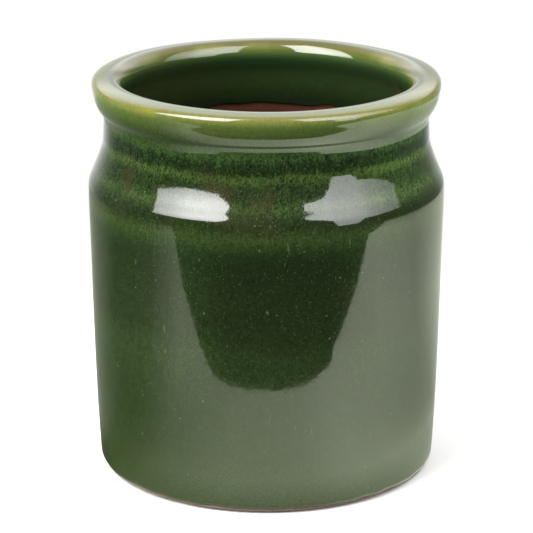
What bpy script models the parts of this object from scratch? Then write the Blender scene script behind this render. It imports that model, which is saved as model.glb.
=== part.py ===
"""Glazed terracotta plant pot: a jar-shaped earthenware body in a glass coat, with a rubber
drain plug and four rubber foot pads.

Metres, +Z up. The origin is the centre of the plane the pot stands on.
"""

import math

import bmesh
import bpy
from mathutils import Vector

MM = 0.001

# Driving dimensions.
RIM_RADIUS = 75.0 * MM          # widest point of the rolled rim
POT_HEIGHT = 172.6 * MM         # from the clay foot to the top of the rim
COAT = 0.7 * MM                 # thickness of the glaze
GAP = 0.3 * MM                  # clearance kept between pieces that touch
PAD_THICKNESS = 1.2 * MM        # the pads lift the clay foot this far off the surface
AROUND = 40                     # flats round each large turned piece
STEPS_PER_SPAN = 6              # curve steps between two neighbouring outline points
FLATNESS = 0.14 * MM            # points this close to the line between others are left out

# Foot and floor of the clay body.
FOOT_RING_RADIUS = 0.961 * RIM_RADIUS   # outer edge of the flat standing ring
FOOT_RING_WIDTH = 15.0 * MM
FOOT_RECESS = 2.5 * MM                  # depth of the hollow inside the ring
FLOOR_TOP = 9.5 * MM                    # inner floor, above the clay foot
FOOT_GLAZE_LINE = 0.9 * MM              # the glaze stops this far above the clay foot
THROAT_GLAZE_LINE = 0.833 * POT_HEIGHT  # and here inside the neck

# Drain hole and plug. The hole narrows downwards, so the plug wedges in from above.
HOLE_TOP_RADIUS = 10.0 * MM
HOLE_BOTTOM_RADIUS = 9.0 * MM
PLUG_DEPTH = 3.6 * MM           # how far the plug's shank reaches down the hole
PLUG_HEAD_RADIUS = 15.0 * MM
PLUG_HEAD_THICKNESS = 2.6 * MM
TAB_WIDTH = 13.0 * MM
TAB_HEIGHT = 11.0 * MM
TAB_THICKNESS = 3.4 * MM

# Foot pads, glued under the standing ring.
PAD_COUNT = 4
PAD_RADIUS = 5.5 * MM
PAD_ROUNDING = 0.3 * MM
PAD_CIRCLE_RADIUS = FOOT_RING_RADIUS - FOOT_RING_WIDTH / 2
PAD_FIRST_ANGLE = math.radians(45)

AROUND_SMALL = 20               # flats round the plug and the pads


def outline_keys():
    """The glazed surface as (radius, height above the clay foot), from the foot up the outside,
    over the rim and into the throat. Then the bare inside, as if the coat ran on to the floor."""
    r, h = RIM_RADIUS, POT_HEIGHT
    outside = [
        (0.9735 * r, FOOT_GLAZE_LINE),
        (0.9822 * r, 0.0125 * h),   # the foot's rounded edge ends here
        (0.9852 * r, 0.0270 * h),
        (0.9893 * r, 0.0600 * h),
        (1.0000 * r, 0.1566 * h),
        (1.0133 * r, 0.3690 * h),
        (1.0220 * r, 0.5787 * h),
        (1.0272 * r, 0.7064 * h),   # widest, at the shoulder
        (1.0230 * r, 0.7332 * h),
        (1.0013 * r, 0.7584 * h),
        (0.9665 * r, 0.7957 * h),
        (0.9415 * r, 0.8316 * h),
        (0.9372 * r, 0.8560 * h),
        (0.9352 * r, 0.8750 * h),
        (0.9335 * r, 0.8870 * h),   # neck, at its narrowest
    ]
    rim = [
        (0.9370 * r, 0.8950 * h),
        (0.9460 * r, 0.9070 * h),
        (0.9690 * r, 0.9225 * h),
        (0.9852 * r, 0.9385 * h),
        (0.9948 * r, 0.9605 * h),
        (1.0000 * r, 0.9768 * h),   # widest point of the rim
        (0.9955 * r, 0.9868 * h),
        (0.9813 * r, 0.9932 * h),
        (0.9380 * r, 0.9983 * h),
        (0.9067 * r, 1.0000 * h),   # crest
        (0.8800 * r, 0.9983 * h),
        (0.8600 * r, 0.9940 * h),
        (0.8385 * r, 0.9860 * h),
        (0.8240 * r, 0.9750 * h),
        (0.8187 * r, 0.9645 * h),   # inner edge of the mouth
    ]
    throat = [
        (0.8270 * r, 0.9415 * h),
        (0.8385 * r, 0.9150 * h),
        (0.8413 * r, 0.8810 * h),   # shallow hollow behind the rim
        (0.8385 * r, THROAT_GLAZE_LINE),
    ]
    bare = [
        (0.8480 * r, 0.8030 * h),
        (0.8820 * r, 0.7680 * h),
        (0.9150 * r, 0.7280 * h),
        (0.9260 * r, 0.6680 * h),   # widest, inside the shoulder
        (0.9200 * r, 0.4490 * h),
        (0.9080 * r, 0.2490 * h),
        (0.8850 * r, 0.1297 * h),
        (0.8350 * r, 0.0738 * h),
        (0.7500 * r, FLOOR_TOP),    # where the wall meets the floor
    ]
    return outside + rim + throat, bare


def spline(keys, steps):
    """Points of a centripetal Catmull-Rom curve through every key."""
    knots = [Vector(k) for k in keys]
    ends = [2 * knots[0] - knots[1], *knots, 2 * knots[-1] - knots[-2]]
    points = []
    for before, start, end, after in zip(ends, ends[1:], ends[2:], ends[3:]):
        t1 = math.sqrt((start - before).length)
        t2 = t1 + math.sqrt((end - start).length)
        t3 = t2 + math.sqrt((after - end).length)
        for step in range(steps):
            t = t1 + (t2 - t1) * step / steps
            a1 = before.lerp(start, t / t1)
            a2 = start.lerp(end, (t - t1) / (t2 - t1))
            a3 = end.lerp(after, (t - t2) / (t3 - t2))
            b1 = a1.lerp(a2, t / t2)
            b2 = a2.lerp(a3, (t - t1) / (t3 - t1))
            points.append(b1.lerp(b2, (t - t1) / (t2 - t1)))
    return [*points, knots[-1]]


def thinned(points, flatness):
    """The fewest of the points that keep the curve to within this flatness."""
    first, last = points[0], points[-1]
    chord = (last - first).normalized()
    away = [abs(chord.cross(p - first)) for p in points]
    furthest = max(range(len(points)), key=away.__getitem__)
    if away[furthest] <= flatness:
        return [first, last]
    return [
        *thinned(points[:furthest + 1], flatness),
        *thinned(points[furthest:], flatness)[1:],
    ]


def offset(points, distance):
    """The curve moved into the clay, which lies on its left from foot to rim to floor."""
    ahead = [(b - a).normalized() for a, b in zip(points, points[1:])]
    moved = []
    for point, arriving, leaving in zip(points, [ahead[0], *ahead], [*ahead, ahead[-1]]):
        along = (arriving + leaving).normalized()
        moved.append(point + Vector((-along.y, along.x)) * distance)
    return moved


def arc(centre, radius, start, end, steps):
    """Points of an arc about centre, with its angles in degrees."""
    angles = [math.radians(start + (end - start) * i / steps) for i in range(steps + 1)]
    return [Vector(centre) + radius * Vector((math.cos(a), math.sin(a))) for a in angles]


def turned_mesh(name, loop, around):
    """A closed outline of (radius, height) points, spun once about Z. Points on the axis merge."""
    mesh = bpy.data.meshes.new(name)
    bm = bmesh.new()
    verts = [bm.verts.new((point.x, 0.0, point.y)) for point in loop]
    edges = [bm.edges.new(pair) for pair in zip(verts, verts[1:])]
    if loop[0].x > 0:
        edges.append(bm.edges.new((verts[-1], verts[0])))
    bmesh.ops.spin(bm, geom=verts + edges, cent=(0, 0, 0), axis=(0, 0, 1),
                   angle=2 * math.pi, steps=around, use_merge=True)
    bmesh.ops.remove_doubles(bm, verts=bm.verts, dist=1e-6)
    bmesh.ops.recalc_face_normals(bm, faces=bm.faces)
    bm.to_mesh(mesh)
    bm.free()
    mesh.shade_smooth()
    mesh.set_sharp_from_angle(angle=math.radians(35))
    return mesh


def material(name, colour, roughness, coat=0.0):
    made = bpy.data.materials.new(name)
    made.use_nodes = True
    shader = made.node_tree.nodes["Principled BSDF"]
    shader.inputs["Base Color"].default_value = (*colour, 1.0)
    shader.inputs["Roughness"].default_value = roughness
    shader.inputs["Metallic"].default_value = 0.0
    shader.inputs["Coat Weight"].default_value = coat
    return made


def place(name, mesh, surface, parent, location=(0, 0, 0)):
    """A named object on the given parent, at a place in the parent's own frame."""
    placed = bpy.data.objects.new(name, mesh)
    if not mesh.materials:
        mesh.materials.append(surface)
    placed.parent = parent
    placed.location = location
    bpy.context.scene.collection.objects.link(placed)
    return placed


def empty(name, parent=None, location=(0, 0, 0)):
    made = bpy.data.objects.new(name, None)
    made.parent = parent
    made.location = location
    bpy.context.scene.collection.objects.link(made)
    return made


def glaze_coat(glazed, pot):
    """The glass coat, from just above the foot, over the rim and down the throat."""
    mesh = turned_mesh("glaze_coat", glazed + offset(glazed, COAT)[::-1], AROUND)
    return place("glaze_coat", mesh, material("green_glaze", (0.03, 0.085, 0.02), 0.12, 1.0), pot)


def clay_body(wall, pot):
    """The fired clay: wall, rolled rim, floor, standing ring and drain hole."""
    # Below the glaze's edge the clay steps out again, to the pot's own outline.
    edge_radius = FOOT_GLAZE_LINE - GAP
    foot_edge = arc((FOOT_RING_RADIUS, edge_radius), edge_radius, -90, 0, 4)
    step = wall[0] + (wall[0] - wall[1]).normalized() * 1.5 * GAP
    ring_inner = FOOT_RING_RADIUS - FOOT_RING_WIDTH
    floor_top = wall[-1].y
    underside = [
        Vector((HOLE_TOP_RADIUS, floor_top)),
        Vector((HOLE_BOTTOM_RADIUS, FOOT_RECESS)),
        Vector((ring_inner - FOOT_RECESS, FOOT_RECESS)),
        Vector((ring_inner, 0.0)),
    ]
    mesh = turned_mesh("clay_body", [*foot_edge, step, *wall, *underside], AROUND)
    return place("clay_body", mesh, material("fired_clay", (0.24, 0.09, 0.05), 0.85), pot)


def plug_shank_and_head(floor_top):
    """The turned part of the plug, in the plug's own frame: its origin is on the inner floor."""
    seat = GAP
    taper = (HOLE_TOP_RADIUS - HOLE_BOTTOM_RADIUS) / (floor_top - FOOT_RECESS)
    shank_top = HOLE_TOP_RADIUS - GAP
    shank_bottom = shank_top - taper * PLUG_DEPTH
    rounding = PLUG_HEAD_THICKNESS / 2
    head_edge = arc((PLUG_HEAD_RADIUS - rounding, seat + rounding), rounding, -90, 90, 8)
    return [
        Vector((0.0, -PLUG_DEPTH)),
        Vector((shank_bottom, -PLUG_DEPTH)),
        Vector((shank_top, seat)),
        *head_edge,
        Vector((0.0, seat + PLUG_HEAD_THICKNESS)),
    ]


def pull_tab_mesh():
    """The flat tab with a round top that stands on the plug's head."""
    half = TAB_WIDTH / 2
    root = Vector((0.0, GAP + PLUG_HEAD_THICKNESS / 2))
    crown = arc((0.0, root.y + TAB_HEIGHT - half), half, 0, 180, 12)
    outline = [Vector((half, root.y)), *crown, Vector((-half, root.y))]
    mesh = bpy.data.meshes.new("pull_tab")
    bm = bmesh.new()
    front = bm.faces.new([bm.verts.new((p.x, -TAB_THICKNESS / 2, p.y)) for p in outline])
    depth = bmesh.ops.extrude_face_region(bm, geom=[front])
    moved = [v for v in depth["geom"] if isinstance(v, bmesh.types.BMVert)]
    bmesh.ops.translate(bm, verts=moved, vec=(0, TAB_THICKNESS, 0))
    bmesh.ops.recalc_face_normals(bm, faces=bm.faces)
    bm.to_mesh(mesh)
    bm.free()
    return mesh


def drain_plug(pot, floor_top):
    """The rubber plug. It slides straight up out of the hole, so its origin is on that axis."""
    slide = empty("plug_lift", pot, (0, 0, floor_top))
    rubber = material("plug_rubber", (0.035, 0.034, 0.032), 0.6)
    mesh = turned_mesh("drain_plug", plug_shank_and_head(floor_top), AROUND_SMALL)
    plug = place("drain_plug", mesh, rubber, slide)
    tab = place("pull_tab_tool", pull_tab_mesh(), rubber, slide)
    tab.hide_render = True
    tab.display_type = "WIRE"
    joined = plug.modifiers.new("pull tab", "BOOLEAN")
    joined.operation = "UNION"
    joined.solver = "EXACT"
    joined.object = tab
    return plug


def foot_pads(stand):
    """Round rubber pads in a ring, which the whole pot stands on."""
    rubber = material("pad_rubber", (0.05, 0.05, 0.048), 0.7)
    top = PAD_THICKNESS - GAP
    lower_edge = arc((PAD_RADIUS - PAD_ROUNDING, PAD_ROUNDING), PAD_ROUNDING, -90, 0, 3)
    upper_edge = arc((PAD_RADIUS - PAD_ROUNDING, top - PAD_ROUNDING), PAD_ROUNDING, 0, 90, 3)
    side = [Vector((0.0, 0.0)), *lower_edge, *upper_edge, Vector((0.0, top))]
    mesh = turned_mesh("foot_pad", side, AROUND_SMALL)
    for i in range(PAD_COUNT):
        angle = PAD_FIRST_ANGLE + 2 * math.pi * i / PAD_COUNT
        spot = (PAD_CIRCLE_RADIUS * math.cos(angle), PAD_CIRCLE_RADIUS * math.sin(angle), 0)
        place(f"foot_pad_{i + 1}", mesh, rubber, stand, spot)


def main():
    for leftover in list(bpy.data.objects):
        bpy.data.objects.remove(leftover)
    stand = empty("standing_plane")
    pot = empty("pot", stand, (0, 0, PAD_THICKNESS))
    glazed_keys, bare_keys = outline_keys()
    curve = spline(glazed_keys + bare_keys, STEPS_PER_SPAN)
    glaze_end = (len(glazed_keys) - 1) * STEPS_PER_SPAN
    glazed = thinned(curve[:glaze_end + 1], FLATNESS)
    bare = thinned(curve[glaze_end:], FLATNESS)
    clay_wall = offset(glazed + bare[1:], COAT + GAP)
    glaze_coat(glazed, pot)
    clay_body(clay_wall, pot)
    drain_plug(pot, floor_top=clay_wall[-1].y)
    foot_pads(stand)


main()
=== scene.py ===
"""Looks of the glazed terracotta pot: a green glass glaze that pools and breaks with the form, bare
red clay, a rubber drain plug and rubber foot pads, on a pale floor between two tall windows.

Metres, +Z up. The pot stands on z = 0 and its axis is the Z axis. -Y is towards the camera.
"""

import math

import bpy
import numpy as np
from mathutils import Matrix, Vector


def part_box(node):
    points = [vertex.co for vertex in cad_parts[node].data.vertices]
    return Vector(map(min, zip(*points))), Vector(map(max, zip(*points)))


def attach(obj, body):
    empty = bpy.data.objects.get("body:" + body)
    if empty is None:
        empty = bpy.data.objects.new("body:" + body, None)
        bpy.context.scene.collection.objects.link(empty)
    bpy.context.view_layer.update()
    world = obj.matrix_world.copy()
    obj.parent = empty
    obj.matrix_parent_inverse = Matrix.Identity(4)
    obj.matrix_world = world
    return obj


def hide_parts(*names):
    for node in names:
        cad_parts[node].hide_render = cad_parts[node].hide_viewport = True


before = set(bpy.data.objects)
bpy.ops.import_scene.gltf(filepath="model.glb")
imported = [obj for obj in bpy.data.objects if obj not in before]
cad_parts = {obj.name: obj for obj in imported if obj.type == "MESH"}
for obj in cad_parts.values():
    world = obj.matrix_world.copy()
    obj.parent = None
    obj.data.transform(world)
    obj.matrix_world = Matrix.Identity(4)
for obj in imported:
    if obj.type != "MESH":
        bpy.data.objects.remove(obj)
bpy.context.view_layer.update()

MM = 0.001

# The pot's own sizes, as in the CAD.
RIM_RADIUS = 75.0 * MM
POT_HEIGHT = 172.6 * MM
COAT = 0.7 * MM
GAP = 0.3 * MM
PAD_THICKNESS = 1.2 * MM
FOOT_RING_RADIUS = 0.961 * RIM_RADIUS
FOOT_RING_WIDTH = 15.0 * MM
FOOT_RECESS = 2.5 * MM
FLOOR_TOP = 9.5 * MM
FOOT_GLAZE_LINE = 0.9 * MM
THROAT_GLAZE_LINE = 0.833 * POT_HEIGHT
HOLE_TOP_RADIUS = 10.0 * MM
HOLE_BOTTOM_RADIUS = 9.0 * MM

AROUND = 288                    # divisions round each large turned piece
AROUND_SMALL = 96               # and round the plug and the pads
SHARP = math.radians(50)        # an edge that turns more than this isn't shaded smooth
THROAT_RADIUS = 0.89 * RIM_RADIUS   # glaze nearer the axis than this is inside the neck

# How uneven the thrown pot is.
OUT_OF_ROUND = 0.10 * MM
RIM_WAVE = 0.16 * MM
FOOT_EDGE_WANDER = 0.35 * MM    # of the glaze's lower edge
THROAT_EDGE_WANDER = 0.7 * MM   # and of its edge in the throat
EDGE_FADE = 9 * MM              # both die out over this height
CHIP = 0.45 * MM
WALL_RING_PITCH = 6.5 * MM
WALL_RING_DEPTH = 0.28 * MM
FLOOR_RING_PITCH = 5.5 * MM
FLOOR_RING_DEPTH = 0.22 * MM

# Camera.
CAMERA_DISTANCE = 1.0921        # level distance from the pot's axis
CAMERA_HEIGHT = 0.4334 + PAD_THICKNESS
CAMERA_PITCH = math.radians(17.67)
CAMERA_LENS_MM = 176.35
CAMERA_SENSOR_MM = 36.0

# Floor and cards. The cards are seen only in gloss.
FLOOR_HALF_WIDTH = 8.0
FLOOR_COLOUR = (0.58, 0.58, 0.57, 1)
FLOOR_FADE = (0.09, 0.34)       # from its own colour to plain white, by distance from the axis
CARD_HEIGHT = 0.6 * MM
TABLE_EDGE = [                  # the table's front edge, as (x, y)
    (-FLOOR_HALF_WIDTH, -3.300), (-0.782, -0.420), (-0.390, -0.262), (-0.300, -0.224),
    (-0.220, -0.223), (-0.152, -0.206), (-0.112, -0.195), (-0.082, -0.198), (-0.020, -0.208),
    (0.022, -0.207), (0.090, -0.198), (0.139, -0.191), (0.160, -0.205), (0.212, -0.207),
    (0.260, -0.204), (0.320, -0.191), (0.420, -0.210), (0.500, -0.140),
    (FLOOR_HALF_WIDTH, -0.140),
]
TABLE_TINT = (0.97, 1.03, 0.83)
TABLE_CHANGE = (0.13, 0.28)     # from TABLE_NEAR to TABLE_FAR, by distance from the axis
TABLE_END = (0.50, 0.60)        # and from there to SURROUNDINGS
CONTACT_SHADE = (0.076, 0.102)  # the pot's own shade on the table, by the same distance
CONTACT_LIGHT = 0.45
# Radiance by direction from the pot, in degrees from -Y towards +X: of the table close to the
# pot, of the table further away, and of what stands round it up to a little above the pot.
TABLE_NEAR = [
    (-180, 0.50), (-120, 0.36), (-100, 0.28), (-89, 0.16), (-77, 0.18), (-63, 0.45), (-45, 1.3),
    (-34, 1.8), (-18, 2.4), (0, 2.6), (17, 2.9), (33, 3.6), (43, 3.6), (61, 2.9), (75, 2.0),
    (86, 1.4), (96, 1.0), (115, 0.60), (180, 0.50),
]
TABLE_FAR = [
    (-180, 0.70), (-146, 0.46), (-119, 0.30), (-105, 0.09), (-89, 0.09), (-72, 0.28), (-60, 1.0),
    (-51, 1.8), (-28, 1.9), (0, 2.4), (34, 3.0), (70, 2.9), (87, 2.1), (102, 1.35), (124, 1.2),
    (146, 0.90), (180, 0.70),
]
SURROUNDINGS = [
    (-180, 1.10), (-165, 1.05), (-152, 0.95), (-143, 0.70), (-136, 0.42), (-130, 0.28),
    (-124, 0.16), (-100, 0.14), (-85, 0.06), (0, 0.06), (80, 0.06), (96, 0.10), (115, 0.16),
    (132, 0.20), (140, 0.28), (150, 0.60), (163, 0.95), (180, 1.10),
]
# Ramps hold 0 to 1, so radiances are divided by these and multiplied again by the shader.
TABLE_STRENGTH = 4.0
ROOM_STRENGTH = 3.0

# The room, as (sine of the elevation, share of ROOM_STRENGTH).
WALL_BEHIND = [(0.0, 0.23), (0.20, 0.37), (0.36, 0.93), (0.70, 0.98), (0.87, 0.77), (1.0, 0.55)]
ROOM_IN_FRONT = [(0.0, 0.03), (0.60, 0.06), (0.90, 0.45), (1.0, 0.50)]
DARK_BEYOND_TABLE = 0.06        # radiance

# Lamps and windows stand on a ring and are placed by side and elevation, in degrees, as seen from
# the pot's shoulder.
EYE_HEIGHT = 0.135
RING_RADIUS = 1.8
LAMPS = [                       # name, sides from and to, elevations from and to, radiance
    ("lamp_left", -76, -28, 15.5, 72, 13.0),
    ("lamp_right_near", 43, 63, -3, 72, 7.5),
    ("lamp_right_slant", 27, 43, 24, 72, 6.0),
    ("lamp_right_far", 63, 92, 10.5, 68, 3.2),
    ("lamp_far_left", -104, -72, 2, 38, 7.0),
]
# Windows, each as its columns of (side, elevation of the bottom edge, share of glow) and its
# levels of (elevation, glow).
WINDOWS = {
    "window_left": (
        [(-77, 14.5, 0.75), (-65, 15.3, 0.90), (-53, 16.5, 1.10), (-42, 18.5, 1.05),
         (-33, 20.0, 0.97), (-25.5, 27.0, 0.95)],
        [(12.5, 8.0), (17.5, 10.5), (21, 13.5), (25.5, 18.5), (45, 17.0), (72, 16.5)],
    ),
    "window_right": (
        [(25.2, 26.6, 0.90), (29.6, 25.2, 0.92), (33, 24.2, 0.94), (37, 22.5, 0.96),
         (41, 18.5, 1.0), (42.6, 17.0, 1.0), (44.6, -5.5, 0.95), (52, -6.5, 0.92),
         (58, -5.0, 0.90), (63.5, 8.8, 0.84), (75, 9.2, 0.56), (94, 10.7, 0.30)],
        [(-5, 5.5), (10, 6.2), (20, 8.0), (28, 10.0), (72, 9.0)],
    ),
}


# ---------------------------------------------------------------- outlines

def outline_keys():
    """The glazed surface as (radius, height above the clay foot), from the foot up the outside,
    over the rim and into the throat. Then the bare inside, as if the coat ran on to the floor.
    It is the CAD's outline, but for a stretch just under the rim that is up to 0.8 mm higher."""
    outside = [
        (0.9735, FOOT_GLAZE_LINE / POT_HEIGHT), (0.9822, 0.0125), (0.9852, 0.0270),
        (0.9893, 0.0600), (1.0000, 0.1566), (1.0133, 0.3690), (1.0220, 0.5787),
        (1.0272, 0.7064), (1.0230, 0.7332), (1.0013, 0.7584), (0.9665, 0.7957),
        (0.9415, 0.8316), (0.9372, 0.8560), (0.9350, 0.8790), (0.9335, 0.8915),
    ]
    rim = [
        (0.9370, 0.8995), (0.9460, 0.9115), (0.9690, 0.9268), (0.9850, 0.9428),
        (0.9945, 0.9628), (1.0000, 0.9768), (0.9955, 0.9868), (0.9813, 0.9932), (0.9380, 0.9983),
        (0.9067, 1.0000), (0.8800, 0.9983), (0.8600, 0.9940), (0.8385, 0.9860),
        (0.8240, 0.9750), (0.8187, 0.9645),
    ]
    throat = [
        (0.8270, 0.9415), (0.8385, 0.9150), (0.8413, 0.8810),
        (0.8385, THROAT_GLAZE_LINE / POT_HEIGHT),
    ]
    bare = [
        (0.8480, 0.8030), (0.8820, 0.7680), (0.9150, 0.7280), (0.9260, 0.6680),
        (0.9200, 0.4490), (0.9080, 0.2490), (0.8850, 0.1297), (0.8350, 0.0738),
        (0.7500, FLOOR_TOP / POT_HEIGHT),
    ]
    scale = (RIM_RADIUS, POT_HEIGHT)
    return np.array(outside + rim + throat) * scale, np.array(bare) * scale


def spline(keys, steps):
    """Points of a centripetal Catmull-Rom curve through every key."""
    ends = np.vstack([2 * keys[0] - keys[1], keys, 2 * keys[-1] - keys[-2]])
    points = []
    for before, start, end, after in zip(ends, ends[1:], ends[2:], ends[3:]):
        t1 = math.sqrt(math.dist(before, start))
        t2 = t1 + math.sqrt(math.dist(start, end))
        t3 = t2 + math.sqrt(math.dist(end, after))
        for t in np.linspace(t1, t2, steps, endpoint=False):
            a1 = before + (start - before) * t / t1
            a2 = start + (end - start) * (t - t1) / (t2 - t1)
            a3 = end + (after - end) * (t - t2) / (t3 - t2)
            b1 = a1 + (a2 - a1) * t / t2
            b2 = a2 + (a3 - a2) * (t - t1) / (t3 - t1)
            points.append(b1 + (b2 - b1) * (t - t1) / (t2 - t1))
    return np.vstack([points, keys[-1]])


def unit(vectors):
    return vectors / np.linalg.norm(vectors, axis=-1, keepdims=True)


def offset(points, distance):
    """The curve moved to its left: into the clay, for an outline from foot to rim to floor."""
    ahead = unit(np.diff(points, axis=0))
    along = unit(np.vstack([ahead[:1], ahead]) + np.vstack([ahead, ahead[-1:]]))
    return points + np.column_stack([-along[:, 1], along[:, 0]]) * distance


def arc(centre, radius, start, end, steps):
    """Points of an arc about centre, with its angles in degrees."""
    angles = np.radians(np.linspace(start, end, steps + 1))
    return np.array(centre) + radius * np.column_stack([np.cos(angles), np.sin(angles)])


def half_round(start, end, steps):
    """Points of a half circle from start to end, ends left out. It bulges to that line's right."""
    middle = (start + end) / 2
    spoke = start - middle
    side = np.array([-spoke[1], spoke[0]])
    turns = np.linspace(0, math.pi, steps + 1)[1:-1]
    return np.array([middle + spoke * math.cos(t) + side * math.sin(t) for t in turns])


def smooth_step(low, high, values):
    """0 below low, 1 above high, with a soft change between. low may be above high."""
    t = np.clip((values - low) / (high - low), 0, 1)
    return t * t * (3 - 2 * t)


def uneven(angle, seed, slowest, fastest):
    """A wandering value round the pot, mostly between -1 and 1, that closes on itself."""
    rng = np.random.default_rng(seed)
    total = np.zeros_like(angle)
    waves = range(slowest, fastest + 1)
    for wave in waves:
        total += np.sin(wave * angle + rng.uniform(0, 2 * math.pi)) * rng.uniform(0.5, 1.0)
    return total / math.sqrt(len(waves) / 2) / 1.5


# ---------------------------------------------------------------- meshes

def link(obj):
    bpy.context.scene.collection.objects.link(obj)
    return obj


def smooth(obj):
    obj.data.shade_smooth()
    obj.data.set_sharp_from_angle(angle=SHARP)
    return obj


def turned(name, loop, around, reshape=None, lift=PAD_THICKNESS):
    """A closed outline of (radius, height) points turned about Z. Points on the axis become one
    point. reshape(radius, height, angle) returns a changed radius and height."""
    angle = np.arange(around) * 2 * math.pi / around
    radius, angle = np.meshgrid(loop[:, 0], angle, indexing="ij")
    height = np.repeat(loop[:, 1:], around, axis=1)
    if reshape:
        radius, height = reshape(radius, height, angle)
    points = np.stack([radius * np.cos(angle), radius * np.sin(angle), height + lift], axis=-1)
    open_outline = loop[0, 0] < 1e-9
    rows = len(loop)
    index = np.arange(rows * around).reshape(rows, around)
    if open_outline:
        index[0] = index[0, 0]
        index[-1] = index[-1, 0]
    last_row = rows - 1 if open_outline else rows
    faces = []
    for row in range(last_row):
        low, high = index[row], index[(row + 1) % rows]
        for low_a, low_b, high_b, high_a in zip(low, np.roll(low, -1), np.roll(high, -1), high):
            corners = [low_a, low_b, high_b, high_a]
            faces.append(list(dict.fromkeys(int(corner) for corner in corners)))
    # Only one point of each row on the axis is used, so the points are numbered again.
    used, numbers = np.unique([c for face in faces for c in face], return_inverse=True)
    numbers = iter(numbers.tolist())
    faces = [[next(numbers) for _ in face] for face in faces]
    mesh = bpy.data.meshes.new(name)
    mesh.from_pydata(points.reshape(-1, 3)[used].tolist(), [], faces)
    mesh.update()
    return smooth(link(bpy.data.objects.new(name, mesh)))


def glaze_mesh():
    """The glass coat, with rounded, uneven edges and the slight unevenness of a thrown pot."""
    glazed_keys, _ = outline_keys()
    skin = spline(glazed_keys, 6)
    back = offset(skin, COAT)[::5]
    back[-1] = offset(skin, COAT)[-1]
    loop = np.vstack([
        skin,
        half_round(skin[-1], back[-1], 6),
        back[::-1],
        half_round(back[0], skin[0], 6),
    ])

    def reshape(radius, height, angle):
        # The whole pot is a little out of round, more so at the rim.
        wobble = OUT_OF_ROUND * uneven(angle, 3, 2, 4) * (0.4 + height / POT_HEIGHT)
        rim = smooth_step(0.93 * POT_HEIGHT, POT_HEIGHT, height)
        height = height + RIM_WAVE * uneven(angle + 1.0, 5, 2, 7) * rim
        # The glaze's lower edge and its edge in the throat wander.
        near_foot = smooth_step(EDGE_FADE, 1.2 * MM, height)
        height = height + near_foot * FOOT_EDGE_WANDER * (1 + uneven(angle, 11, 3, 40))
        in_throat = (radius < THROAT_RADIUS) & (height < 0.95 * POT_HEIGHT)
        near_end = smooth_step(THROAT_GLAZE_LINE + EDGE_FADE, THROAT_GLAZE_LINE, height)
        wander = THROAT_EDGE_WANDER * uneven(angle, 17, 2, 24)
        height = height + in_throat * near_end * wander
        return radius + wobble, height

    return turned("glaze", loop, AROUND, reshape)


def clay_mesh():
    """The clay under the glaze and where it is bare: foot, underside, floor and inner wall, with
    the rings that the thrower's fingers left inside and chips along the foot's edge."""
    glazed_keys, bare_keys = outline_keys()
    hidden_wall = offset(spline(glazed_keys, 2), COAT + GAP)[:-1]
    bare_wall = offset(spline(np.vstack([glazed_keys[-1:], bare_keys]), 14), COAT + GAP)
    edge_radius = FOOT_GLAZE_LINE - GAP
    foot_edge = arc((FOOT_RING_RADIUS, edge_radius), edge_radius, -90, 0, 5)
    step = hidden_wall[0] + unit(hidden_wall[0] - hidden_wall[1]) * 1.5 * GAP
    floor_top = bare_wall[-1, 1]
    ring_inner = FOOT_RING_RADIUS - FOOT_RING_WIDTH
    rounding = 0.8 * MM
    floor_steps = 60
    floor = np.column_stack([
        np.linspace(bare_wall[-1, 0] - rounding, HOLE_TOP_RADIUS + rounding, floor_steps),
        np.full(floor_steps, floor_top),
    ])
    recess_steps, recess_corner, ring_corner = 40, 1.0 * MM, 0.6 * MM
    underside = np.vstack([
        arc((HOLE_TOP_RADIUS + rounding, floor_top - rounding), rounding, 100, 180, 4),
        arc((HOLE_BOTTOM_RADIUS + rounding, FOOT_RECESS + rounding), rounding, 180, 270, 4),
        np.column_stack([
            np.linspace(14 * MM, ring_inner - 4 * MM, recess_steps),
            np.full(recess_steps, FOOT_RECESS),
        ]),
        arc((ring_inner - 2.2 * MM, FOOT_RECESS - recess_corner), recess_corner, 90, 45, 3),
        arc((ring_inner + ring_corner, ring_corner), ring_corner, 225, 270, 3),
        [(ring_inner + FOOT_RING_WIDTH / 3, 0.0), (ring_inner + FOOT_RING_WIDTH * 2 / 3, 0.0)],
    ])
    loop = np.vstack([foot_edge, step, hidden_wall, bare_wall, floor, underside])

    def reshape(radius, height, angle):
        # Chips along the foot's outer edge.
        on_edge = (radius > FOOT_RING_RADIUS - 0.5 * MM) & (height < FOOT_GLAZE_LINE)
        chip = np.clip(uneven(angle, 23, 5, 60) - 0.35, 0, 1.2)
        radius = radius - on_edge * chip * CHIP
        # Finger rings, climbing slowly round the bare inside.
        inside = (height > floor_top - 0.2 * MM) & (radius < 0.95 * RIM_RADIUS)
        inside &= height < THROAT_GLAZE_LINE + 1 * MM
        wall = inside & (height > floor_top + 2 * MM)
        climb = height / WALL_RING_PITCH * 2 * math.pi + angle
        ring = np.sin(climb + 0.8 * uneven(angle, 31, 1, 3)) * (0.7 + 0.3 * uneven(angle, 37, 1, 5))
        fade = smooth_step(THROAT_GLAZE_LINE - 1 * MM, THROAT_GLAZE_LINE - 9 * MM, height)
        fade = fade * smooth_step(floor_top + 2 * MM, floor_top + 10 * MM, height)
        radius = radius - wall * fade * WALL_RING_DEPTH * ring
        # Rings in the floor, which fade out before the drain hole.
        on_floor = inside & (height < floor_top + 0.5 * MM)
        swirl = np.sin(radius / FLOOR_RING_PITCH * 2 * math.pi + angle) - 1
        flat_near_hole = smooth_step(17 * MM, 24 * MM, radius)
        flat_near_wall = smooth_step(55 * MM, 48 * MM, radius)
        swirl = swirl * flat_near_hole * flat_near_wall
        height = height + on_floor * FLOOR_RING_DEPTH * swirl
        return radius, height

    return turned("clay", loop, AROUND, reshape)


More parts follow.
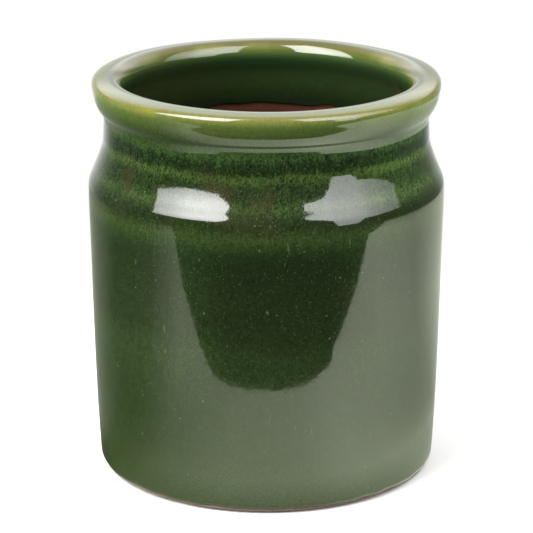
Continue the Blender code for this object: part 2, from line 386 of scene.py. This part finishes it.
def plug_body_mesh(floor_top):
    """The plug's head and shank: a shallow dish with a raised lip, and sealing ribs below. The
    outline is in millimetres, with heights from the pot's floor."""
    loop = MM * np.array([
        (0.0, -3.6), (6.4, -3.6), (6.8, -3.2), (6.8, -1.8), (8.6, -1.6), (8.6, -3.3), (8.9, -3.6),
        (9.1, -3.4), (9.25, -2.4), (9.2, -2.0), (9.45, -1.6), (9.4, -1.2), (9.6, -0.6),
        (9.6, 0.3), (14.2, 0.3), (14.75, 0.5), (15.0, 1.1), (14.9, 1.9), (14.4, 2.6), (13.6, 2.9),
        (12.8, 2.7), (12.2, 2.3), (9.0, 2.2), (4.0, 2.3), (0.0, 2.35),
    ])
    plug = turned("plug_body", loop, AROUND_SMALL, lift=floor_top + PAD_THICKNESS)
    soften(plug, 0.25 * MM)
    return plug


def soften(obj, width):
    """Rounds the edges that turn sharply."""
    bevel = obj.modifiers.new("soft edges", "BEVEL")
    bevel.width = width
    bevel.segments = 3
    bevel.limit_method = "ANGLE"
    bevel.angle_limit = math.radians(40)
    bevel.use_clamp_overlap = True


def pull_tab_mesh(floor_top):
    """The tab that stands on the plug: a flared root, a round top and a finger hole."""
    half_width, thickness, rounding, hole_radius = 6.5 * MM, 3.2 * MM, 0.5 * MM, 2.6 * MM
    base = 2.0 * MM
    crown_centre = np.array((0.0, base + 4.1 * MM))
    flare = np.array([(0.9 * MM, 0.0), (0.25 * MM, 0.7 * MM)])
    right = flare + (half_width, base)
    left = (right * (-1, 1))[::-1]
    outline = np.vstack([right, arc(crown_centre, half_width, 0, 180, 32), left])
    hole = arc(crown_centre, hole_radius, 0, 360, 32)[:-1]
    curve = bpy.data.curves.new("plug_tab", "CURVE")
    curve.dimensions = "2D"
    curve.fill_mode = "BOTH"
    curve.extrude = thickness / 2 - rounding
    curve.bevel_depth = rounding
    curve.bevel_resolution = 4
    for points, growth in ((outline, -rounding), (hole, rounding)):
        stroke = curve.splines.new("POLY")
        stroke.points.add(len(points) - 1)
        moved = points + unit(points - crown_centre) * growth
        stroke.points.foreach_set("co", np.column_stack([moved, np.zeros_like(moved)]).ravel())
        stroke.use_cyclic_u = True
    drawn = link(bpy.data.objects.new("plug_tab_outline", curve))
    bpy.context.view_layer.update()
    graph = bpy.context.evaluated_depsgraph_get()
    mesh = bpy.data.meshes.new_from_object(drawn.evaluated_get(graph))
    bpy.data.objects.remove(drawn)
    mesh.name = "plug_tab"
    tab = smooth(link(bpy.data.objects.new("plug_tab", mesh)))
    tab.rotation_euler = (math.pi / 2, 0, 0)
    tab.location = (0, 0, floor_top + PAD_THICKNESS)
    return tab


def pad_mesh(number, low, high):
    """A moulded rubber pad, dished underneath, in the box of its CAD node."""
    radius = (high.x - low.x) / 2
    top = high.z - low.z
    loop = np.array([
        (0.0, 0.12 * MM), (radius * 0.45, 0.12 * MM), (radius * 0.62, 0.0), (radius * 0.90, 0.0),
        (radius * 0.97, 0.08 * MM), (radius, 0.25 * MM), (radius * 0.985, top - 0.2 * MM),
        (radius * 0.95, top - 0.03 * MM), (radius * 0.9, top), (0.0, top),
    ])
    pad = turned(f"pad_{number}", loop, AROUND_SMALL, lift=0.0)
    pad.location = ((low.x + high.x) / 2, (low.y + high.y) / 2, low.z)
    return pad


# ---------------------------------------------------------------- materials

class Shader:
    """A node tree, built node by node. place is the point being shaded or, in the world's tree,
    the direction."""

    def __init__(self, tree, coordinates):
        self.tree = tree
        self.place = self.node("ShaderNodeTexCoord").outputs[coordinates]

    def node(self, kind, inputs=None, **settings):
        made = self.tree.nodes.new(kind)
        for key, value in settings.items():
            setattr(made, key, value)
        for key, value in (inputs or {}).items():
            self.put(made.inputs[key], value)
        return made

    def put(self, socket, value):
        if isinstance(value, bpy.types.NodeSocket):
            self.tree.links.new(value, socket)
        else:
            socket.default_value = value

    def math(self, operation, a, b=0.0):
        return self.node("ShaderNodeMath", {0: a, 1: b}, operation=operation).outputs[0]

    def times(self, first, *factors):
        for factor in factors:
            first = self.math("MULTIPLY", first, factor)
        return first

    def between(self, value, low, high, to_low=0.0, to_high=1.0):
        """value carried from low..high to to_low..to_high, and kept inside them."""
        inputs = {"Value": value, "From Min": low, "From Max": high, "To Min": to_low,
                  "To Max": to_high}
        return self.node("ShaderNodeMapRange", inputs).outputs["Result"]

    def zone(self, value, start, full, fade, end):
        """1 from full to fade, falling to 0 at start and at end."""
        return self.times(self.between(value, start, full), self.between(value, end, fade))

    def split(self, vector):
        return self.node("ShaderNodeSeparateXYZ", {0: vector}).outputs

    def length(self, vector):
        made = self.node("ShaderNodeVectorMath", {0: vector}, operation="LENGTH")
        return made.outputs["Value"]

    def noise(self, per_metre, seed, detail=2.0, roughness=0.5, stretch=(1, 1, 1)):
        """Soft noise, 0 to 1, with about this many cells in a metre."""
        moved = self.node("ShaderNodeMapping", {
            "Vector": self.place,
            "Location": (seed * 1.37, seed * 2.11, seed * 0.73),
            "Scale": stretch,
        })
        inputs = {"Vector": moved.outputs[0], "Scale": per_metre, "Detail": detail,
                  "Roughness": roughness}
        return self.node("ShaderNodeTexNoise", inputs).outputs["Fac"]

    def cells(self, per_metre):
        """Round cells: three random values for each, and the distance from its middle."""
        made = self.node("ShaderNodeTexVoronoi", {"Vector": self.place, "Scale": per_metre})
        picks = self.node("ShaderNodeSeparateColor", {0: made.outputs["Color"]}).outputs
        return picks, made.outputs["Distance"]

    def ramp(self, factor, stops):
        """Colours by factor. stops is a list of (position, colour)."""
        made = self.node("ShaderNodeValToRGB", {"Fac": factor})
        elements = made.color_ramp.elements
        elements.remove(elements[0])
        elements[0].position = stops[0][0]
        elements[0].color = (*stops[0][1], 1.0)
        for position, colour in stops[1:]:
            elements.new(position).color = (*colour, 1.0)
        return made.outputs["Color"]

    def by_side(self, values, tint=(1, 1, 1)):
        """The tint times the value for the side that place is on, in degrees from -Y towards +X."""
        x, y, _ = self.split(self.place)
        side = self.math("ARCTAN2", x, self.times(y, -1.0))
        turn = self.between(side, -math.pi, math.pi)
        return self.ramp(turn, [((degrees + 180) / 360, scaled(tint, value))
                                for degrees, value in values])

    def mix(self, factor, a, b, blend="MIX"):
        made = self.node("ShaderNodeMix", data_type="RGBA", blend_type=blend)
        self.put(made.inputs[0], factor)
        self.put(made.inputs[6], a)
        self.put(made.inputs[7], b)
        return made.outputs[2]

    def dim(self, colour, value):
        """The colour times a single value."""
        shade = self.node("ShaderNodeCombineColor", {0: value, 1: value, 2: value}).outputs[0]
        return self.mix(1.0, colour, shade, "MULTIPLY")

    def bump(self, height, depth, normal=None):
        inputs = {"Height": height, "Distance": depth, "Strength": 1.0}
        if normal is not None:
            inputs["Normal"] = normal
        return self.node("ShaderNodeBump", inputs).outputs["Normal"]


class Look(Shader):
    """One material: a surface, shaded by places on its own piece."""

    def __init__(self, name):
        self.material = bpy.data.materials.new(name)
        self.material.use_nodes = True
        super().__init__(self.material.node_tree, "Object")

    def surface(self, name, value):
        self.put(self.tree.nodes["Principled BSDF"].inputs[name], value)


def scaled(colour, factor):
    return tuple(channel * factor for channel in colour)


def grey(value):
    return (value, value, value)


# Painted light and shade by side, in degrees from -Y towards +X: the glaze's colour is made
# lighter on the sides, where more light falls and the rim reflects most, and darker down the front.
FLARE_PAINTED_LIGHT = [
    (-180, 1.1), (-70, 1.15), (-30, 1.0), (28, 1.0), (42, 1.9), (100, 2.2), (180, 1.1),
]
RIM_PAINTED_LIGHT = [
    (-180, 1.2), (-62, 1.45), (-30, 1.12), (30, 1.12), (54, 1.8), (100, 1.9), (180, 1.2),
]
BODY_PAINTED_LIGHT = [
    (-180, 1.4), (-24, 1.40), (-12, 0.92), (20, 0.92), (30, 1.35), (180, 1.4),
]

# Spots and stains in the glaze, by their linear colours.
IRON = (0.020, 0.017, 0.006, 1)
YELLOW = (0.135, 0.130, 0.020, 1)
CRYSTAL = (0.040, 0.062, 0.022, 1)
DASH = (0.050, 0.080, 0.022, 1)
STREAK = (0.024, 0.048, 0.012, 1)
SPECK = (0.085, 0.115, 0.045, 1)
ORANGE_GRAIN = (0.14, 0.035, 0.01, 1)
THIN_BROWN = (0.035, 0.030, 0.016, 1)

# Glaze colours on the outside, as (height / pot height, linear colour). The coat is thick and
# dark in hollows and thin and olive on edges.
OUTSIDE_COLOURS = [
    (0.0500, (0.0140, 0.0255, 0.0050)), (0.1400, (0.0115, 0.0215, 0.0040)),
    (0.2500, (0.0093, 0.0190, 0.0040)), (0.4000, (0.0095, 0.0175, 0.0045)),
    (0.4500, (0.0068, 0.0126, 0.0034)), (0.5600, (0.0061, 0.0113, 0.0030)),
    (0.6300, (0.0050, 0.0102, 0.0028)), (0.6600, (0.0062, 0.0128, 0.0035)),
    (0.6760, (0.0100, 0.0190, 0.0048)), (0.6980, (0.0156, 0.0278, 0.0067)),
    (0.7130, (0.0127, 0.0216, 0.0052)), (0.7275, (0.0082, 0.0149, 0.0041)),
    (0.7410, (0.0066, 0.0130, 0.0032)), (0.7545, (0.0106, 0.0192, 0.0049)),
    (0.7680, (0.0168, 0.0290, 0.0075)), (0.7810, (0.0120, 0.0222, 0.0052)),
    (0.7950, (0.0080, 0.0155, 0.0037)), (0.8190, (0.0082, 0.0160, 0.0037)),
    (0.8346, (0.0193, 0.0335, 0.0076)), (0.8425, (0.0176, 0.0325, 0.0070)),
    (0.8525, (0.0060, 0.0122, 0.0028)), (0.8700, (0.0053, 0.0113, 0.0031)),
    (0.8850, (0.0125, 0.0270, 0.0068)), (0.9000, (0.0180, 0.0350, 0.0075)),
    (0.9250, (0.0170, 0.0300, 0.0065)), (0.9450, (0.0205, 0.0338, 0.0072)),
    (0.9620, (0.0297, 0.0471, 0.0088)), (0.9750, (0.0480, 0.0660, 0.0135)),
    (0.9840, (0.0750, 0.0860, 0.0185)), (0.9925, (0.0800, 0.0720, 0.0080)),
    (0.9960, (0.0460, 0.0560, 0.0060)), (0.9990, (0.0280, 0.0380, 0.0080)),
]

# The same in the throat and on the rim's inner half.
INSIDE_COLOURS = [
    (0.8450, (0.0043, 0.0090, 0.0036)), (0.8600, (0.0066, 0.0130, 0.0034)),
    (0.8700, (0.0075, 0.0147, 0.0039)), (0.8920, (0.0097, 0.0188, 0.0053)),
    (0.9200, (0.0098, 0.0190, 0.0055)), (0.9330, (0.0070, 0.0158, 0.0050)),
    (0.9480, (0.0095, 0.0215, 0.0066)), (0.9570, (0.0165, 0.0340, 0.0106)),
    (0.9650, (0.0265, 0.0475, 0.0126)), (0.9750, (0.0400, 0.0575, 0.0122)),
    (0.9810, (0.0530, 0.0690, 0.0110)), (0.9860, (0.0520, 0.0580, 0.0090)),
    (0.9900, (0.0600, 0.0540, 0.0060)), (0.9940, (0.0500, 0.0420, 0.0060)),
    (0.9985, (0.0320, 0.0390, 0.0080)),
]


def glaze_material():
    shader = Look("green_glaze_look")
    x, y, z = shader.split(shader.place)
    radius = shader.length(shader.node("ShaderNodeCombineXYZ", {0: x, 1: y}).outputs[0])
    height = shader.math("DIVIDE", shader.math("SUBTRACT", z, PAD_THICKNESS), POT_HEIGHT)
    outside = shader.math("GREATER_THAN", radius, THROAT_RADIUS)

    # The bands' edges run down in drips, so the height read by the colours wanders.
    drips = shader.noise(620, 1, stretch=(1, 1, 0.16))
    sway = shader.noise(34, 2, detail=1.0, stretch=(1, 1, 0.3))
    wander = shader.math("ADD", shader.between(drips, 0.25, 0.75, -0.0055, 0.0055),
                         shader.between(sway, 0.3, 0.7, -0.004, 0.004))
    below_rim = shader.times(shader.between(height, 0.955, 0.92),
                             shader.between(outside, 0, 1, 0.3, 1.0))
    read_height = shader.math("ADD", height, shader.times(wander, below_rim))
    colour = shader.mix(outside, shader.ramp(read_height, INSIDE_COLOURS),
                        shader.ramp(read_height, OUTSIDE_COLOURS))
    # Painted light and shade: the flare, the body and the rim are made lighter or darker by side.
    for zone, painted_light in (
        (shader.zone(height, 0.73, 0.77, 0.88, 0.90), FLARE_PAINTED_LIGHT),
        (shader.zone(height, 0.24, 0.42, 0.66, 0.71), BODY_PAINTED_LIGHT),
        (shader.zone(height, 0.925, 0.945, 0.980, 0.990), RIM_PAINTED_LIGHT),
    ):
        colour = shader.mix(shader.times(zone, outside), colour, shader.by_side(painted_light),
                            "MULTIPLY")

    # Mottling: cells a few millimetres and under a millimetre across, calmer below the shoulder,
    # on the rim and inside.
    broad = shader.noise(150, 3, stretch=(1, 1, 0.7))
    fine = shader.noise(1500, 4, roughness=0.6, stretch=(1, 1, 0.6))
    flecks = shader.noise(560, 13, detail=1.0, stretch=(1, 1, 0.6))
    strength = shader.times(
        shader.between(height, 0.71, 0.77, 0.50, 1.0),
        shader.between(height, 0.912, 0.890, 0.25, 1.0),
        shader.between(outside, 0, 1, 0.35, 1.0),
        shader.between(height, 0.10, 0.35, 0.5, 1.0),
    )
    mottle = 1.0
    for pattern, depth in ((broad, 0.12), (fine, 0.90), (flecks, 0.35)):
        spread = shader.between(pattern, 0.25, 0.75, -depth, depth)
        mottle = shader.math("ADD", mottle, shader.times(spread, strength))
    colour = shader.dim(colour, mottle)

    # Rusty olive patches where iron shows through, above the shoulder.
    on_flare = shader.zone(height, 0.70, 0.75, 0.82, 0.86)
    iron = shader.between(shader.noise(45, 5), 0.56, 0.68)
    colour = shader.mix(shader.times(iron, on_flare, 0.6), colour, IRON)

    # Yellow patches on the rim.
    yellow = shader.between(shader.noise(38, 6, stretch=(1, 1, 0.5)), 0.50, 0.66)
    on_rim = shader.zone(height, 0.968, 0.985, 0.990, 0.996)
    colour = shader.mix(shader.times(yellow, on_rim, 0.55), colour, YELLOW)

    # Light crystals, short upright dashes, thickest in the neck and thin near the foot.
    crystal = shader.noise(1900, 7, detail=0.0, stretch=(1, 1, 0.6))
    crystal = shader.times(shader.between(crystal, 0.70, 0.82), outside,
                           shader.between(height, 0.15, 0.88, 0.15, 0.85))
    colour = shader.mix(crystal, colour, CRYSTAL)
    dash = shader.between(shader.noise(520, 12, detail=0.0, stretch=(1, 1, 0.45)), 0.82, 0.90)
    colour = shader.mix(shader.times(dash, outside, 0.55), colour, DASH)
    streak = shader.noise(900, 8, roughness=0.6, stretch=(1, 1, 0.3))
    in_neck = shader.times(shader.zone(height, 0.835, 0.86, 0.89, 0.905), outside)
    streak = shader.times(shader.between(streak, 0.58, 0.80, 0.0, 0.8), in_neck)
    colour = shader.mix(streak, colour, STREAK)

    # Round pale specks, far apart, and a few orange grains on the flare.
    picks, distance = shader.cells(170)
    speck = shader.times(shader.math("GREATER_THAN", picks[1], 0.55),
                         shader.between(distance, 0.085, 0.045, 0.0, 0.55),
                         shader.between(height, 0.93, 0.88), outside)
    colour = shader.mix(speck, colour, SPECK)
    picks, distance = shader.cells(160)
    grain = shader.times(shader.math("GREATER_THAN", picks[0], 0.975),
                         shader.between(distance, 0.10, 0.05), on_flare)
    colour = shader.mix(grain, colour, ORANGE_GRAIN)

    # The coat thins to brown just above the foot.
    foot = shader.between(shader.math("ADD", z, shader.times(wander, 0.12)),
                          PAD_THICKNESS + 2.6 * MM, PAD_THICKNESS + 1.2 * MM, 0.0, 0.8)
    shader.surface("Base Color", shader.mix(foot, colour, THIN_BROWN))

    shader.surface("Roughness", shader.between(shader.noise(300, 9), 0.3, 0.7, 0.035, 0.075))
    shader.surface("IOR", 1.5)
    ripple = shader.bump(shader.noise(260, 10, detail=1.0), 0.012 * MM)
    pits = shader.between(shader.noise(1400, 11, detail=0.0), 0.80, 0.68)
    shader.surface("Normal", shader.bump(pits, 0.005 * MM, ripple))
    return shader.material


def clay_material():
    """Red clay, dark inside and paler on and under the foot."""
    shader = Look("bare_clay_look")
    grain = shader.noise(1500, 21, detail=4.0, roughness=0.65)
    stain = shader.noise(28, 22, detail=3.0)
    rings = shader.noise(60, 23, stretch=(0.08, 0.08, 2.6))
    _, _, z = shader.split(shader.place)
    inner = shader.ramp(stain, [(0.3, (0.040, 0.0110, 0.0048)), (0.7, (0.052, 0.0155, 0.0068))])
    outer = shader.ramp(stain, [(0.3, (0.100, 0.0700, 0.0480)), (0.7, (0.150, 0.1080, 0.0780))])
    colour = shader.mix(shader.between(z, 12 * MM, 5 * MM), inner, outer)
    light = shader.mix(1.0, colour, (1.7, 1.8, 1.9, 1), "MULTIPLY")
    dark = shader.mix(1.0, colour, (0.55, 0.5, 0.5, 1), "MULTIPLY")
    colour = shader.mix(shader.between(grain, 0.45, 0.75, 0.0, 0.7), colour, light)
    colour = shader.mix(shader.between(rings, 0.45, 0.75, 0.0, 0.6), colour, dark)
    # Dark and pale grit in the clay.
    picks, distance = shader.cells(700)
    near = shader.between(distance, 0.38, 0.22)
    dark_grit = shader.times(shader.math("GREATER_THAN", picks[0], 0.93), near)
    pale_grit = shader.times(shader.math("LESS_THAN", picks[0], 0.05), near)
    colour = shader.mix(dark_grit, colour, dark)
    colour = shader.mix(pale_grit, colour, light)
    shader.surface("Base Color", colour)
    shader.surface("Roughness", shader.between(grain, 0.3, 0.7, 0.78, 0.95))
    shader.surface("Specular IOR Level", 0.15)
    rough = shader.bump(grain, 0.10 * MM)
    shader.surface("Normal", shader.bump(rings, 0.25 * MM, rough))
    return shader.material


def rubber_material(name, dark, light, roughness, seed):
    shader = Look(name)
    cloud = shader.noise(140, seed, detail=3.0)
    dust = shader.noise(2400, seed + 1, detail=3.0, roughness=0.7)
    colour = shader.ramp(cloud, [(0.3, dark), (0.7, light)])
    bloom = shader.between(dust, 0.58, 0.80, 0.0, 0.35)
    shader.surface("Base Color", shader.mix(bloom, colour, (*scaled(light, 2.4), 1)))
    shader.surface("Roughness",
                   shader.between(cloud, 0.3, 0.7, roughness - 0.08, roughness + 0.08))
    shader.surface("Normal", shader.bump(dust, 0.03 * MM))
    return shader.material


def glow_look(name, strength=1.0):
    """A matt black material that glows white, until some of its inputs are set again."""
    shader = Look(name)
    shader.surface("Base Color", (0, 0, 0, 1))
    shader.surface("Specular IOR Level", 0.0)
    shader.surface("Emission Color", (1, 1, 1, 1))
    shader.surface("Emission Strength", strength)
    return shader


# ---------------------------------------------------------------- studio

def camera():
    data = bpy.data.cameras.new("camera")
    data.lens = CAMERA_LENS_MM
    data.sensor_width = CAMERA_SENSOR_MM
    data.clip_end = 100.0
    view = link(bpy.data.objects.new("camera", data))
    view.location = (0.0, -CAMERA_DISTANCE, CAMERA_HEIGHT)
    view.rotation_euler = (math.pi / 2 - CAMERA_PITCH, 0.0, 0.0)
    bpy.context.scene.camera = view


def at_eye(side, elevation):
    """The point on the ring round the pot that is seen in this direction."""
    side = math.radians(side)
    height = EYE_HEIGHT + RING_RADIUS * math.tan(math.radians(elevation))
    return RING_RADIUS * math.sin(side), -RING_RADIUS * math.cos(side), height


def lamp(name, side_from, side_to, low, high, radiance):
    """A tall soft light between these directions. It lights, but gloss doesn't show it."""
    middle = (side_from + side_to) / 2
    width = 2 * RING_RADIUS * math.tan(math.radians((side_to - side_from) / 2))
    bottom, top = at_eye(0, low)[2], at_eye(0, high)[2]
    data = bpy.data.lights.new(name, "AREA")
    data.shape = "RECTANGLE"
    data.size = width
    data.size_y = top - bottom
    data.energy = radiance * math.pi * width * (top - bottom)
    light = link(bpy.data.objects.new(name, data))
    light.location = at_eye(middle, 0)
    light.location.z = (bottom + top) / 2
    light.rotation_euler = (math.pi / 2, 0, math.radians(middle))
    light.visible_camera = False
    light.visible_glossy = False


def window_in_gloss(name, columns, levels):
    """A window that only gloss shows. Its columns and levels are as in WINDOWS."""
    elevations, glows = zip(*levels)
    points, strengths = [], []
    for side, bottom, share in columns:
        for elevation in elevations:
            elevation = max(elevation, bottom)
            points.append(at_eye(side, elevation))
            strengths.append(share * np.interp(elevation, elevations, glows))
    rows = len(levels)
    faces = []
    for column in range(len(columns) - 1):
        for row in range(rows - 1):
            start = column * rows + row
            corners = [start, start + 1, start + rows + 1, start + rows]
            if len({points[corner] for corner in corners}) > 2:
                faces.append(corners)
    mesh = bpy.data.meshes.new(name)
    mesh.from_pydata(points, [], faces)
    mesh.attributes.new("glow", "FLOAT", "POINT").data.foreach_set("value", strengths)
    shader = glow_look(name + "_look")
    glow = shader.node("ShaderNodeAttribute", attribute_name="glow").outputs["Fac"]
    shader.surface("Emission Strength", glow)
    mesh.materials.append(shader.material)
    only_in_gloss(link(bpy.data.objects.new(name, mesh)))


def only_in_gloss(card):
    card.visible_camera = False
    card.visible_diffuse = False
    card.visible_shadow = False
    card.visible_transmission = False


def floor_and_cards():
    """A wide pale floor. Two flat cards, seen only in mirror-like reflections, stand for a table
    whose brightness changes round the pot and for the dark room beyond its front edge."""
    wide = FLOOR_HALF_WIDTH
    flat_piece("floor", [(-wide, -wide), (wide, -wide), (wide, wide), (-wide, wide)], 0.0,
               floor_material())
    table = TABLE_EDGE + [(wide, wide), (-wide, wide)]
    beyond = [(-wide, -wide), (wide, -wide)] + TABLE_EDGE[::-1]
    dark = glow_look("dark_look", DARK_BEYOND_TABLE).material
    for name, corners, material in (("table_in_gloss", table, table_material()),
                                    ("room_in_gloss", beyond, dark)):
        only_in_gloss(flat_piece(name, corners, CARD_HEIGHT, material))


def flat_piece(name, corners, height, material):
    mesh = bpy.data.meshes.new(name)
    mesh.from_pydata([(x, y, height) for x, y in corners], [], [list(range(len(corners)))])
    mesh.materials.append(material)
    piece = link(bpy.data.objects.new(name, mesh))
    return piece


def floor_material():
    """Matt and pale near the pot, fading to plain white far away so that no horizon shows."""
    shader = glow_look("floor_look")
    far = shader.between(shader.length(shader.place), *FLOOR_FADE)
    shader.surface("Base Color", shader.mix(far, FLOOR_COLOUR, (0, 0, 0, 1)))
    shader.surface("Roughness", 1.0)
    shader.surface("Emission Strength", far)
    return shader.material


def table_material():
    """The table's light changes round the pot and away from it, and the table ends behind it."""
    shader = glow_look("table_look", TABLE_STRENGTH)
    tint = scaled(TABLE_TINT, 1 / TABLE_STRENGTH)
    away = shader.length(shader.place)
    light = shader.mix(shader.between(away, *TABLE_CHANGE), shader.by_side(TABLE_NEAR, tint),
                       shader.by_side(TABLE_FAR, tint))
    light = shader.mix(shader.between(away, *TABLE_END), light,
                       shader.by_side(SURROUNDINGS, grey(1 / TABLE_STRENGTH)))
    shade = shader.between(away, *CONTACT_SHADE, CONTACT_LIGHT, 1.0)
    shader.surface("Emission Color", shader.dim(light, shade))
    return shader.material


def room():
    """The room's own light by direction: dark in front, a pale wall behind that is brightest some
    way up, and a ceiling. The camera itself sees white all round."""
    world = bpy.data.worlds.new("room")
    bpy.context.scene.world = world
    world.use_nodes = True
    shader = Shader(world.node_tree, "Generated")
    _, back, up = shader.split(shader.place)
    front, wall = (shader.ramp(up, [(place, grey(value)) for place, value in stops])
                   for stops in (ROOM_IN_FRONT, WALL_BEHIND))
    light = shader.mix(shader.between(back, 0.10, 0.70), front, wall)
    low = shader.by_side(SURROUNDINGS, grey(1 / ROOM_STRENGTH))
    light = shader.mix(shader.between(up, 0.14, 0.30), low, light)
    seen = shader.node("ShaderNodeLightPath").outputs["Is Camera Ray"]
    light = shader.mix(seen, light, (*grey(1 / ROOM_STRENGTH), 1))
    background = world.node_tree.nodes["Background"]
    shader.put(background.inputs["Color"], light)
    background.inputs["Strength"].default_value = ROOM_STRENGTH


def studio():
    camera()
    floor_and_cards()
    room()
    for settings in LAMPS:
        lamp(*settings)
    for name, (columns, levels) in WINDOWS.items():
        window_in_gloss(name, columns, levels)
    bpy.context.scene.view_settings.view_transform = "Standard"


# ---------------------------------------------------------------- the object

def finish_piece(piece, material, body, slot, *nodes):
    piece.data.materials.clear()
    piece.data.materials.append(material)
    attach(piece, body)
    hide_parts(*nodes)


def main():
    studio()
    _, bare_keys = outline_keys()
    floor_top = offset(spline(bare_keys, 6), COAT + GAP)[-1, 1]
    finish_piece(glaze_mesh(), glaze_material(), "pot", "glaze", "glaze_coat")
    finish_piece(clay_mesh(), clay_material(), "pot", "clay", "clay_body")
    plug_rubber = rubber_material("plug_rubber_look", (0.028, 0.027, 0.026),
                                  (0.045, 0.043, 0.041), 0.5, 41)
    finish_piece(plug_body_mesh(floor_top), plug_rubber, "plug", "plug_rubber", "drain_plug")
    finish_piece(pull_tab_mesh(floor_top), plug_rubber, "plug", "plug_rubber", "drain_plug")
    pad_rubber = rubber_material("pad_rubber_look", (0.040, 0.040, 0.038),
                                 (0.060, 0.060, 0.057), 0.68, 51)
    for number in range(1, 5):
        node = f"foot_pad_{number}"
        pad = pad_mesh(number, *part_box(node))
        finish_piece(pad, pad_rubber, "pot", "pad_rubber", node)


main()
